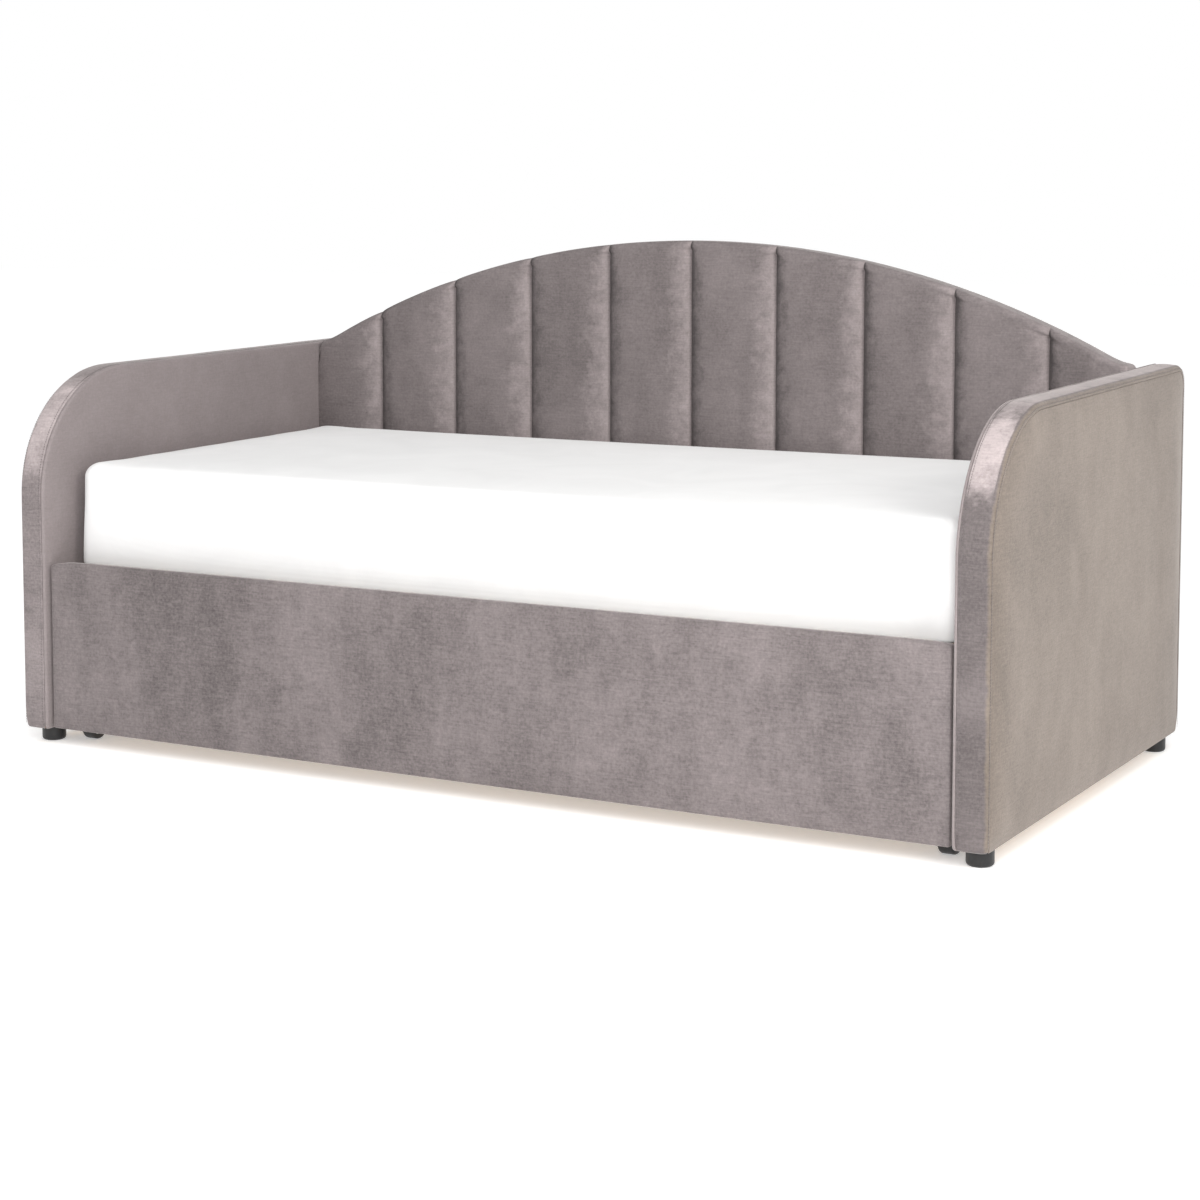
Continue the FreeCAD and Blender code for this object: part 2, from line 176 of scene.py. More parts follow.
def cut_at(piece, axis, places):
    """Cut a piece right through at each place along an axis."""
    normal = [0.0, 0.0, 0.0]
    normal[axis] = 1.0
    make_active(piece)
    bpy.ops.object.mode_set(mode="EDIT")
    for place in places:
        point = [0.0, 0.0, 0.0]
        point[axis] = place
        bpy.ops.mesh.select_all(action="SELECT")
        bpy.ops.mesh.bisect(plane_co=point, plane_no=normal, threshold=1e-5)
    leave_edit()


def places_between(low, high, step):
    """Even places between two ends, without the ends."""
    count = max(2, round((high - low) / step))
    return [low + (high - low) * i / count for i in range(1, count)]


def apply_modifier(piece, kind, **values):
    """Add a modifier, set it and apply it."""
    make_active(piece)
    modifier = piece.modifiers.new(kind.title(), kind)
    for key, value in values.items():
        setattr(modifier, key, value)
    bpy.ops.object.modifier_apply(modifier=modifier.name)


def round_off(piece, levels):
    """Subdivide a finished piece and shade it smooth."""
    if levels:
        apply_modifier(piece, "SUBSURF", levels=levels, render_levels=levels)
    make_active(piece)
    bpy.ops.object.shade_smooth()


def outward(piece):
    """Merge doubles and point the normals outwards."""
    make_active(piece)
    bpy.ops.object.mode_set(mode="EDIT")
    bpy.ops.mesh.select_all(action="SELECT")
    bpy.ops.mesh.remove_doubles(threshold=1e-6)
    bpy.ops.mesh.normals_make_consistent(inside=False)
    leave_edit()


def coordinates(mesh):
    """A mesh's vertices as an array."""
    flat = np.empty(len(mesh.vertices) * 3)
    mesh.vertices.foreach_get("co", flat)
    return flat.reshape(-1, 3)


def place_vertices(mesh, points):
    """Move a mesh's vertices to an array of points."""
    mesh.vertices.foreach_set("co", np.asarray(points, dtype=float).ravel())
    mesh.update()


def blow_up(piece, held, pressure, cap, frames):
    """Cloth simulation: inflate the fabric, hold some vertices and cap how far the rest move."""
    make_active(piece)
    before = coordinates(piece.data)
    group = piece.vertex_groups.new(name="held")
    group.add([int(i) for i in np.nonzero(held)[0]], 1.0, "REPLACE")
    modifier = piece.modifiers.new("Cloth", "CLOTH")
    settings = modifier.settings
    settings.quality = 5
    settings.mass = 0.3
    settings.tension_stiffness = 12
    settings.compression_stiffness = 12
    settings.shear_stiffness = 5
    settings.bending_stiffness = 0.6
    settings.use_pressure = True
    settings.uniform_pressure_force = pressure
    settings.vertex_group_mass = "held"
    settings.effector_weights.gravity = 0
    modifier.collision_settings.use_collision = False
    scene = bpy.context.scene
    for number in range(1, frames + 1):
        scene.frame_set(number)
    shaped = piece.evaluated_get(bpy.context.evaluated_depsgraph_get()).data
    moved = coordinates(shaped) - before
    piece.modifiers.remove(modifier)
    scene.frame_set(1)
    length = np.linalg.norm(moved, axis=1)
    share = cap * np.tanh(length / cap) / np.maximum(length, 1e-9)
    place_vertices(piece.data, before + moved * share[:, None])
    piece.vertex_groups.clear()


def finish_piece(piece, material, body, nodes=()):
    """Give a piece its finish, its body and the CAD nodes it stands for."""
    piece.data.materials.clear()
    piece.data.materials.append(material)
    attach(piece, body)
    if nodes:
        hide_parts(*nodes)


# ---- materials -------------------------------------------------------------

class Finish:
    """A new material with short calls for its nodes."""

    def __init__(self, name):
        self.material = bpy.data.materials.new(name)
        self.material.use_nodes = True
        self.tree = self.material.node_tree
        self.shader = self.tree.nodes["Principled BSDF"]
        self.place = self.add("ShaderNodeTexCoord").outputs["Object"]

    def add(self, kind, **values):
        node = self.tree.nodes.new(kind)
        for key, value in values.items():
            setattr(node, key, value)
        return node

    def link(self, output, socket):
        self.tree.links.new(output, socket)

    def set(self, **values):
        for key, value in values.items():
            self.shader.inputs[key.replace("_", " ")].default_value = value

    def stretched(self, scale):
        """Object coordinates scaled along each axis."""
        node = self.add("ShaderNodeMapping")
        node.inputs["Scale"].default_value = scale
        self.link(self.place, node.inputs["Vector"])
        return node.outputs["Vector"]

    def noise(self, scale, detail=3.0, roughness=0.5, stretch=(1, 1, 1), distortion=0.0):
        """A noise pattern, from 0 to 1."""
        node = self.add("ShaderNodeTexNoise")
        node.inputs["Scale"].default_value = scale
        node.inputs["Detail"].default_value = detail
        node.inputs["Roughness"].default_value = roughness
        node.inputs["Distortion"].default_value = distortion
        self.link(self.stretched(stretch), node.inputs["Vector"])
        return node.outputs["Fac"]

    def spread(self, value, low, high, to_low=0.0, to_high=1.0):
        """Stretch a range of values to another range."""
        node = self.add("ShaderNodeMapRange")
        node.inputs["From Min"].default_value = low
        node.inputs["From Max"].default_value = high
        node.inputs["To Min"].default_value = to_low
        node.inputs["To Max"].default_value = to_high
        self.link(value, node.inputs["Value"])
        return node.outputs["Result"]

    def math(self, operation, first, second):
        """One sum of two values, each a socket or a number."""
        node = self.add("ShaderNodeMath", operation=operation)
        for socket, value in zip(node.inputs, (first, second)):
            if isinstance(value, (int, float)):
                socket.default_value = value
            else:
                self.link(value, socket)
        return node.outputs["Value"]

    def blend(self, share, first, second):
        """Mix two colours, each a socket or three numbers."""
        node = self.add("ShaderNodeMix", data_type="RGBA")
        self.link(share, node.inputs["Factor"])
        for socket, value in zip(("A", "B"), (first, second)):
            target = [s for s in node.inputs if s.name == socket and s.type == "RGBA"][0]
            if isinstance(value, (tuple, list)):
                target.default_value = (*value, 1.0)
            else:
                self.link(value, target)
        return [s for s in node.outputs if s.type == "RGBA"][0]

    def facing(self, direction):
        """How far the surface faces a direction, from -1 to 1."""
        node = self.add("ShaderNodeVectorMath", operation="DOT_PRODUCT")
        node.inputs[1].default_value = Vector(direction).normalized()
        self.link(self.add("ShaderNodeNewGeometry").outputs["Normal"], node.inputs[0])
        return node.outputs["Value"]

    def comb(self, colour, direction, low, high, tone, ragged):
        """Paint another tone where the surface faces a direction, with a ragged border: painted light where
        the tone is lighter, painted shade where it is darker.
        """
        uneven = self.math("MULTIPLY", self.math("SUBTRACT", ragged, 0.5), (high - low) * 0.8)
        lean = self.math("ADD", self.facing(direction), uneven)
        return self.blend(self.spread(lean, low, high), colour, tone)

    def bump(self, height, distance, strength=1.0):
        """Raise the surface by a pattern."""
        node = self.add("ShaderNodeBump")
        node.inputs["Distance"].default_value = distance
        node.inputs["Strength"].default_value = strength
        self.link(height, node.inputs["Height"])
        self.link(node.outputs["Normal"], self.shader.inputs["Normal"])


def scaled(colour, factor):
    """A colour made lighter or darker, evenly or by three factors."""
    factors = factor if isinstance(factor, tuple) else (factor,) * 3
    return tuple(min(1.0, channel * share) for channel, share in zip(colour, factors))


def velvet(name, stretch, light=1.0, warmth=0.0, contrast=1.0, cloud_scale=3.2, painted_lights=(), painted_shade_side=None):
    """Short-pile velvet: brushed clouds and marks, its weave, a soft sheen, and painted light and shade by
    the way each face turns.

    Each of the facing tones given is a direction, the range of how far the surface faces it, and the tone
    painted there: lighter for painted light, darker for painted shade.
    Where the surface faces the painted-shade side, the sheen is taken off: painted shade.
    """
    colours = bpy.context.scene.daybed_colours
    base = (
        colours.velvet[0] * light * (1 + warmth),
        colours.velvet[1] * light * (1 + warmth * 0.45),
        colours.velvet[2] * light * (1 - warmth * 1.5),
    )
    finish = Finish(name)
    clouds = finish.spread(finish.noise(cloud_scale, 3.0, 0.5, stretch, 0.4), 0.36, 0.64)
    marks = finish.spread(finish.noise(15.0, 4.0, 0.6, stretch, 0.3), 0.34, 0.66)
    specks = finish.spread(finish.noise(190.0, 3.0, 0.65), 0.3, 0.7)
    wefts = finish.spread(finish.noise(1.0, 2.0, 0.6, (34, 34, 400)), 0.3, 0.7)
    warps = finish.spread(finish.noise(1.0, 2.0, 0.6, (400, 400, 40)), 0.3, 0.7)
    pile = finish.noise(520.0, 2.0, 0.6)
    share = finish.math("MULTIPLY", clouds, 0.22)
    for pattern, weight in ((marks, 0.16), (specks, 0.30), (wefts, 0.18), (warps, 0.07), (pile, 0.07)):
        share = finish.math("ADD", share, finish.math("MULTIPLY", pattern, weight))
    dark = scaled(base, 1 - 0.42 * contrast)
    pale = scaled(base, 1 + 0.46 * contrast)
    colour = finish.blend(share, dark, pale)
    ragged = finish.spread(finish.noise(34.0, 4.0, 0.7, (1, 1, 1), 0.2), 0.3, 0.7)
    # Painted light and shade: a lighter or darker copy of the velvet where the surface faces each given
    # direction.
    for direction, low, high, tone in painted_lights:
        painted_tone = scaled(base, tone)
        painted_tone_mottled = finish.blend(share, scaled(painted_tone, 1 - 0.3 * contrast), scaled(painted_tone, 1 + 0.3 * contrast))
        colour = finish.comb(colour, direction, low, high, painted_tone_mottled, ragged)
    finish.link(colour, finish.shader.inputs["Base Color"])
    finish.link(finish.spread(clouds, 0, 1, 0.86, 0.72), finish.shader.inputs["Roughness"])
    finish.set(Sheen_Weight=SHEEN, Sheen_Roughness=0.36)
    # Painted shade: the sheen is taken off where the surface faces this side.
    if painted_shade_side:
        sheen = finish.spread(finish.facing(painted_shade_side), 0.15, 0.55, SHEEN, 0.0)
        finish.link(sheen, finish.shader.inputs["Sheen Weight"])
    finish.set(Sheen_Tint=(*colours.velvet_sheen, 1.0), Specular_IOR_Level=0.28)
    weave = finish.math("ADD", finish.math("MULTIPLY", pile, 0.5), finish.math("MULTIPLY", specks, 0.35))
    weave = finish.math("ADD", weave, finish.math("MULTIPLY", wefts, 0.3))
    finish.bump(weave, 0.0008, 0.6)
    return finish.material


def cotton(name, colour):
    """Plain cotton: a fine weave and soft shallow creases."""
    finish = Finish(name)
    weave = finish.add("ShaderNodeTexWave", wave_type="BANDS", bands_direction="X")
    weave.inputs["Scale"].default_value = 320.0
    finish.link(finish.place, weave.inputs["Vector"])
    across = finish.add("ShaderNodeTexWave", wave_type="BANDS", bands_direction="Y")
    across.inputs["Scale"].default_value = 320.0
    finish.link(finish.place, across.inputs["Vector"])
    thread = finish.math("ADD", weave.outputs["Fac"], across.outputs["Fac"])
    creases = finish.noise(5.0, 4.0, 0.5, (1, 1, 1), 1.2)
    height = finish.math("ADD", finish.math("MULTIPLY", thread, 0.05), creases)
    # Painted shade in the creases: the cotton is a little darker in their troughs and lighter on their
    # crests.
    tone = finish.spread(creases, 0.3, 0.7)
    cloth = finish.blend(tone, scaled(colour, 0.965), scaled(colour, 1.02))
    finish.link(cloth, finish.shader.inputs["Base Color"])
    finish.set(Roughness=0.88, Sheen_Weight=0.15, Sheen_Roughness=0.5, Specular_IOR_Level=0.2)
    finish.bump(height, 0.004, 0.35)
    return finish.material


def timber(name, colour, along):
    """Sawn wood with its grain along one axis."""
    finish = Finish(name)
    stretch = [1.0, 1.0, 1.0]
    stretch[along] = 0.05
    rings = finish.noise(38.0, 5.0, 0.6, stretch, 1.6)
    fibres = finish.noise(240.0, 3.0, 0.6, stretch)
    share = finish.math("ADD", finish.math("MULTIPLY", rings, 0.75), finish.math("MULTIPLY", fibres, 0.25))
    share = finish.spread(share, 0.35, 0.65)
    wood = finish.blend(share, scaled(colour, 0.72), scaled(colour, 1.1))
    finish.link(wood, finish.shader.inputs["Base Color"])
    finish.link(finish.spread(share, 0, 1, 0.66, 0.5), finish.shader.inputs["Roughness"])
    finish.set(Specular_IOR_Level=0.35)
    finish.bump(fibres, 0.0006, 0.5)
    return finish.material


def coated(name, colour, roughness, grain, depth, metallic=0.0):
    """Powder coat, moulded plastic or plated metal, by its grain and gloss."""
    finish = Finish(name)
    fine = finish.noise(grain, 3.0, 0.6)
    wear = finish.noise(24.0, 4.0, 0.6)
    share = finish.spread(wear, 0.35, 0.7)
    coat = finish.blend(share, scaled(colour, 0.88), scaled(colour, 1.15))
    gloss = finish.spread(wear, 0.3, 0.7, roughness * 0.9, roughness * 1.12)
    finish.link(coat, finish.shader.inputs["Base Color"])
    finish.link(gloss, finish.shader.inputs["Roughness"])
    finish.set(Metallic=metallic)
    finish.bump(fine, depth, 0.5)
    return finish.material


def make_finishes():
    """Every finish, by the name of what it covers."""
    colours = bpy.context.scene.daybed_colours
    # Painted light: the lighter, warmer tone that the right band takes on its side facing +X, like the outer
    # face.
    outer_side_painted_light = (1.44, 1.38, 1.16)
    # Left band: a painted highlight where it faces up and forward on its front curve, and painted light on
    # its top and on its side facing +X.
    left_band_painted_light = (
        ((0, -0.78, 0.62), 0.86, 0.98, 1.9), ((0, 0, 1), 0.90, 1.0, 1.1), ((1, 0, 0), 0.35, 0.85, 1.5))
    # Right band: a painted highlight on its front curve, and painted light on its top and on both sides.
    right_band_painted_light = (
        ((0, -0.67, 0.74), 0.91, 0.985, 2.9), ((0, 0, 1), 0.90, 1.0, 2.6),
        ((1, 0, 0), 0.35, 0.8, outer_side_painted_light), ((-1, 0, 0), 0.35, 0.85, 2.2))
    # Channels: painted highlight on each side that faces +X, painted shade on each side that faces -X.
    channel_painted_shading = (((1, 0, 0), 0.14, 0.66, 1.75), ((-1, 0, 0), 0.24, 0.60, 0.45))
    return {
        # Each piece gets its own lighter or darker copy of one velvet: painted light and shade for how
        # brightly each face catches the light.
        "arm_face": velvet("velvet_arm_face", (1, 1, 0.7), 0.90, 0.085, 1.1),
        "left_band": velvet("velvet_left_band", (1, 1, 1), 1.12, 0.0, 1.5, 6.0, left_band_painted_light),
        "right_band": velvet("velvet_right_band", (1, 1, 1), 0.68, 0.0, 1.4, 6.0, right_band_painted_light),
        "arm_inner": velvet("velvet_arm_inner", (1, 1, 0.8), 1.33, 0.0, 0.5),
        # The back's sheen is taken off on the sides that face -X: painted shade beside the seams.
        "back": velvet("velvet_back", (1, 1, 0.8), 0.86, 0.0, 1.1, 5.0, channel_painted_shading, (-1, 0, 0)),
        "panel": velvet("velvet_panel", (1.6, 1, 0.9), 0.83, 0.0, 1.55, 3.0),
        "thread": velvet("sewing_thread", (1, 1, 1), 0.72, 0.0, 0.4, 30.0),
        "sheet": cotton("white_cotton", tuple(colours.sheet)),
        "ticking": cotton("mattress_ticking", scaled(tuple(colours.sheet), 0.92)),
        "steel": coated("black_powder_coat", tuple(colours.steel), 0.5, 900.0, 0.0003),
        "foot": coated("black_moulded_plastic", (0.014, 0.014, 0.015), 0.42, 700.0, 0.0003),
        "wheel": coated("grey_moulded_plastic", (0.028, 0.028, 0.030), 0.38, 500.0, 0.0002),
        "zinc": coated("zinc_plate", (0.62, 0.62, 0.60), 0.34, 300.0, 0.0002, 1.0),
        "pine_x": timber("pine_along_bed", tuple(colours.pine), 0),
        "pine_y": timber("pine_across_bed", tuple(colours.pine), 1),
        "pine_z": timber("pine_upright", tuple(colours.pine), 2),
        "birch": timber("birch_slats", tuple(colours.birch), 1),
        "plywood": timber("plywood", scaled(tuple(colours.pine), 0.9), 0),
    }


FINISHES = {}


# ---- arms ------------------------------------------------------------------

def arm_box(side):
    """The lowest and highest corners of one arm."""
    low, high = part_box(side + "_arm_outer_cover")
    inner_low, inner_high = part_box(side + "_arm_inner_cover")
    low = [min(a, b) for a, b in zip(low, inner_low)]
    high = [max(a, b) for a, b in zip(high, inner_high)]
    return Vector(low), Vector(high)


def arm_outline(name, side, x, facing, inset=0.0, below=0.0):
    """A flat face of the arm's outline at x that faces along X, inset all round and extended below."""
    sizes = bpy.context.scene.daybed_sizes
    low, high = arm_box(side)
    depth = high.y - low.y
    top = high.z + sizes.arm_rise * sizes.arm_rear_radius / depth - inset
    bottom = low.z - below
    start_alone()
    bpy.ops.mesh.primitive_plane_add(
        size=1, location=(x, (low.y + high.y) / 2, (bottom + top) / 2), rotation=(0, facing * math.pi / 2, 0))
    bpy.context.active_object.scale = (top - bottom, depth - 2 * inset, 1)
    piece = named(name)
    middle = (low.y + high.y) / 2
    upper = (bottom + top) / 2
    pick(piece, "VERT", lambda p: p.y < middle and p.z > upper)
    bpy.ops.transform.translate(value=(0, 0, -sizes.arm_rise))
    leave_edit()
    corners = (
        (lambda p: p.y > middle and p.z > upper, sizes.arm_rear_radius - inset, 10),
        (lambda p: p.y < middle and p.z > upper, sizes.arm_front_radius - inset, 44),
        (lambda p: abs(p.z - bottom) < 1e-5, 0.006, 3),
    )
    for test, radius, segments in corners:
        pick(piece, "VERT", test)
        bpy.ops.mesh.bevel(offset=radius, segments=segments, affect="VERTICES")
        leave_edit()
    return piece


def rounded_steps(radius, count):
    """Inset and rise of each step round a quarter circle, from the rim to the flat."""
    angles = [math.pi / 2 * i / count for i in range(count + 1)]
    return [
        (radius * (math.cos(a) - math.cos(b)), radius * (math.sin(b) - math.sin(a)))
        for a, b in zip(angles[:-1], angles[1:])
    ]


def tuck_bottom(piece, low, high):
    """Draw an arm's fabric in round its bottom edge, where it is stapled under the timber."""
    reach, tuck_y, tuck_x = 0.012, 0.003, 0.0025
    points = coordinates(piece.data)
    near = np.clip(1 - (points[:, 2] - low.z) / reach, 0, 1) ** 2
    middle = (low + high) / 2
    points[:, 1] -= np.sign(points[:, 1] - middle.y) * tuck_y * near
    points[:, 0] -= (points[:, 0] - middle.x) / (high.x - middle.x) * tuck_x * near
    place_vertices(piece.data, points)


def arm_face_pad(side, which, facing, inset, seam, rounding, swell):
    """One padded face of an arm: drawn in at its seam, a rounded rim, then a face swollen by its foam."""
    sizes = bpy.context.scene.daybed_sizes
    low, high = arm_box(side)
    face = high.x if facing > 0 else low.x
    rim = seam - SEAM_SET
    pad = arm_outline("%s_arm_%s_pad" % (side, which), side, face - facing * rim, facing, inset)
    pick(pad, "FACE", lambda c, n: True)
    bpy.ops.mesh.extrude_region_move(TRANSFORM_OT_translate={"value": (facing * (rim - rounding), 0, 0)})
    for thickness, rise in rounded_steps(rounding, 4):
        bpy.ops.mesh.inset(thickness=thickness, depth=rise)
    leave_edit()
    outward(pad)
    pick(pad, "FACE", lambda c, n: n.x * facing < -0.9)
    bpy.ops.mesh.inset(thickness=SEAM_DRAW, depth=SEAM_SET)
    leave_edit()
    cut_at(pad, 1, places_between(low.y, high.y, PAD_GRID))
    cut_at(pad, 2, places_between(low.z, high.z, PAD_GRID))
    points = coordinates(pad.data)
    held = (points[:, 0] - face) * facing < -0.0002
    blow_up(pad, held, 3.0, swell, sizes.cloth_frames)
    tuck_bottom(pad, low, high)
    round_off(pad, 1)
    return pad


def arm_band(side, facing):
    """The sewn strip round an arm's edge: from its inner seam, over the edge, onto the outer face."""
    sizes = bpy.context.scene.daybed_sizes
    low, high = arm_box(side)
    inner = low.x if facing > 0 else high.x
    width = high.x - low.x
    start = sizes.inner_seam + SEAM_SET
    corner = sizes.band_corner_radius
    below = 0.04    # cut off again at the arm's bottom
    band = arm_outline(side + "_arm_edge_strip", side, inner + facing * start, facing, 0, below)
    pick(band, "FACE", lambda c, n: True)
    bpy.ops.mesh.extrude_region_move(
        TRANSFORM_OT_translate={"value": (facing * (width - start - corner), 0, 0)})
    for thickness, rise in rounded_steps(corner, 6):
        bpy.ops.mesh.inset(thickness=thickness, depth=rise)
    wrap = sizes.outer_seam - corner - 0.001
    for thickness, rise in ((wrap, 0.0), (0.0006, -0.0003), (0.0006, -0.0012)):
        bpy.ops.mesh.inset(thickness=thickness, depth=rise)
    bpy.ops.mesh.delete(type="FACE")
    leave_edit()
    outward_if_needed(band, Vector((0, 0, 1)))
    pick(band, "FACE", lambda c, n: abs(c.x - inner - facing * start) < 1e-5)
    bpy.ops.mesh.inset(thickness=SEAM_DRAW, depth=SEAM_SET)
    bpy.ops.mesh.delete(type="FACE")
    leave_edit()
    make_active(band)
    bpy.ops.object.mode_set(mode="EDIT")
    bpy.ops.mesh.select_all(action="SELECT")
    bpy.ops.mesh.bisect(plane_co=(0, 0, low.z), plane_no=(0, 0, 1), clear_inner=True, threshold=1e-5)
    leave_edit()
    closer_to_seam = (0.0012, 0.003, 0.006, 0.012, 0.022, 0.032)
    cut_at(band, 0, [inner + facing * (start + step) for step in closer_to_seam])
    cut_at(band, 1, places_between(low.y, high.y, COVER_GRID))
    cut_at(band, 2, places_between(low.z, high.z, COVER_GRID))
    crown_band(band, low, high)
    tuck_bottom(band, low, high)
    apply_modifier(band, "SOLIDIFY", thickness=0.005, offset=-1)
    round_off(band, 1)
    return band


def crown_band(band, low, high):
    """Swell the strip a little along its middle and ripple it where it bends."""
    crown_height, ripple_height = 0.0016, 0.0012
    points = coordinates(band.data)
    normals = np.array([vertex.normal[:] for vertex in band.data.vertices])
    share = (points[:, 0] - low.x) / (high.x - low.x)
    crown = np.sin(np.pi * np.clip(share, 0, 1)) ** 2 * crown_height
    bend = np.clip(normals[:, 2], 0, 1) * np.clip(-normals[:, 1], 0, 1)
    ripple = np.array([noise.noise((x * 30, y * 22, z * 22)) for x, y, z in points])
    swell = crown + ripple_height * ripple * (0.35 + 1.3 * bend) * (np.abs(normals[:, 0]) < 0.5)
    place_vertices(band.data, points + normals * swell[:, None])


def outline_points(side, inset, pitch):
    """Evenly spaced points and directions along the arm's edge, from front foot to rear foot."""
    sizes = bpy.context.scene.daybed_sizes
    low, high = arm_box(side)
    depth = high.y - low.y
    slope = math.atan2(sizes.arm_rise, depth)
    rear_top = high.z + sizes.arm_rise * sizes.arm_rear_radius / depth
    front_y = low.y + sizes.arm_front_radius
    front_z = rear_top - sizes.arm_rise - sizes.arm_front_radius + math.tan(slope) * sizes.arm_front_radius
    rear_y = high.y - sizes.arm_rear_radius
    rear_z = rear_top - sizes.arm_rear_radius
    front = np.linspace(math.pi, math.pi / 2 + slope, 41)
    rear = np.linspace(math.pi / 2 + slope, 0, 13)
    foot = low.z + 0.008
    front_arc = np.column_stack([np.cos(front), np.sin(front)]) * (sizes.arm_front_radius - inset)
    rear_arc = np.column_stack([np.cos(rear), np.sin(rear)]) * (sizes.arm_rear_radius - inset)
    path = np.concatenate([
        [(low.y + inset, foot)],
        front_arc + (front_y, front_z),
        rear_arc + (rear_y, rear_z),
        [(high.y - inset, foot)],
    ])
    lengths = np.concatenate([[0], np.cumsum(np.linalg.norm(np.diff(path, axis=0), axis=1))])
    count = int(lengths[-1] / pitch)
    at = np.linspace(0, lengths[-1], count)
    return np.column_stack([np.interp(at, lengths, path[:, 0]), np.interp(at, lengths, path[:, 1])])


def stitch_mesh(name, starts, ends, ups, radius):
    """A row of short stitches: one little bar, copied between each pair of points."""
    start_alone()
    bpy.ops.mesh.primitive_cylinder_add(vertices=6, radius=1, depth=1, end_fill_type="TRIFAN")
    row = named(name)
    bar = coordinates(row.data)
    faces = [tuple(face.vertices) for face in row.data.polygons]
    points = []
    loops = []
    for start, end, up in zip(starts, ends, ups):
        along = end - start
        side = np.cross(along, up)
        side = side / np.linalg.norm(side)
        middle = (start + end) / 2
        offset = len(points)
        points.extend(middle + along * b[2] + side * b[0] * radius + up * b[1] * radius for b in bar)
        loops.extend(tuple(i + offset for i in face) for face in faces)
    row.data.clear_geometry()
    row.data.from_pydata([tuple(p) for p in points], [], loops)
    row.data.update()
    make_active(row)
    bpy.ops.object.shade_smooth()
    return row


def arm_stitches(side, facing):
    """Top-stitching beside both seams of an arm's band."""
    sizes = bpy.context.scene.daybed_sizes
    low, high = arm_box(side)
    inner, outer = (low.x, high.x) if facing > 0 else (high.x, low.x)
    reach = sizes.stitch_set_in
    turn = math.acos(1 - (sizes.outer_seam - reach) / sizes.band_corner_radius)
    rows = (
        (inner + facing * (sizes.inner_seam + reach), -0.0004, 0.0),
        (outer + facing * 0.0002, sizes.outer_seam - reach, turn),
    )
    starts, ends, ups = [], [], []
    for x, inset, lean in rows:
        edge = outline_points(side, inset, sizes.stitch_pitch)
        steps = np.diff(edge, axis=0)
        steps = steps / np.linalg.norm(steps, axis=1)[:, None]
        for i in range(len(steps)):
            forward = np.array([0.0, steps[i][0], steps[i][1]])
            up = np.array([0.0, -steps[i][1], steps[i][0]]) * math.cos(lean)
            up[0] = facing * math.sin(lean)
            middle = np.array([x, *(edge[i] + edge[i + 1]) / 2])
            starts.append(middle - forward * STITCH_LENGTH / 2)
            ends.append(middle + forward * STITCH_LENGTH / 2)
            ups.append(up)
    return stitch_mesh(side + "_arm_stitching", starts, ends, ups, STITCH_RADIUS)


class DAYBED_OT_arms(bpy.types.Operator):
    """Upholster both arms: outer and inner pads, edge bands and stitching"""

    bl_idname = "daybed.arms"
    bl_label = "Arms"

    def execute(self, context):
        sizes = context.scene.daybed_sizes
        for side, sign in SIDES.items():
            outer = arm_face_pad(
                side, "outer", sign, inset=sizes.outer_seam, seam=0.004, rounding=0.0025, swell=0.007)
            finish_piece(outer, FINISHES["arm_face"], "bed", [side + "_arm_outer_cover"])
            inner = arm_face_pad(
                side, "inner", -sign, inset=0.0, seam=sizes.inner_seam, rounding=0.0055, swell=0.0018)
            finish_piece(inner, FINISHES["arm_inner"], "bed", [side + "_arm_inner_cover"])
            band = arm_band(side, sign)
            finish_piece(band, FINISHES[side + "_band"], "bed", [side + "_arm_edge_band"])
            stitches = arm_stitches(side, sign)
            finish_piece(stitches, FINISHES["thread"], "bed")
        return {"FINISHED"}


# ---- back ------------------------------------------------------------------

class Arch:
    """The back's outline: a crown arc that flares out into the arms."""

    def __init__(self):
        flare = bpy.context.scene.daybed_sizes.flare_radius
        low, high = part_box("back_rear_cover")
        channel_low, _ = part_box("back_channel_01")
        self.half = high[0]
        self.bottom = low[2]
        self.rear = high[1]
        self.front = channel_low[1]
        self.deck = channel_low[2]
        shoulder = self.shoulder_height()
        rise = high[2] - shoulder
        self.crown = (self.half ** 2 + rise ** 2) / (2 * rise) - flare
        self.crown_z = high[2] - self.crown
        self.flare = flare
        self.flare_z = shoulder + flare
        self.turn = self.crown * self.half / (self.crown + flare)

    def shoulder_height(self):
        """How high the back's edge is where it meets the arms."""
        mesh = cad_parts["back_rear_cover"].data
        points = coordinates(mesh)
        ends = points[points[:, 0] > self.half - 1e-4]
        return float(ends[:, 2].max())

    def height(self, x):
        """The edge's height at a place along the bed."""
        across = np.abs(x)
        crown = self.crown_z + np.sqrt(self.crown ** 2 - np.minimum(across, self.turn) ** 2)
        reach = np.maximum(0.0, self.flare ** 2 - (self.half - across) ** 2)
        return np.where(across <= self.turn, crown, self.flare_z - np.sqrt(reach))


def seam_places():
    """Where the back's upright seams are, both ends included."""
    edges = [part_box(CHANNELS[0])[0][0]]
    for node in CHANNELS:
        edges.append(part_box(node)[1][0])
    return np.array(edges)


def back_columns(seams):
    """Places across the back, close together beside each seam."""
    shares = np.array([0.0, 0.006, 0.016, 0.032, 0.055, 0.09, 0.14, 0.21, 0.30, 0.40, 0.5])
    shares = np.concatenate([shares, 1 - shares[-2::-1]])
    columns = []
    for left, right in zip(seams[:-1], seams[1:]):
        columns.extend(left + (right - left) * shares[:-1])
    columns.append(seams[-1])
    return np.array(columns)


def grid_piece(name, columns, rows):
    """A flat grid with a vertex for every column and row, ready to be shaped."""
    start_alone()
    bpy.ops.mesh.primitive_grid_add(x_subdivisions=columns - 1, y_subdivisions=rows - 1, size=1)
    return named(name)


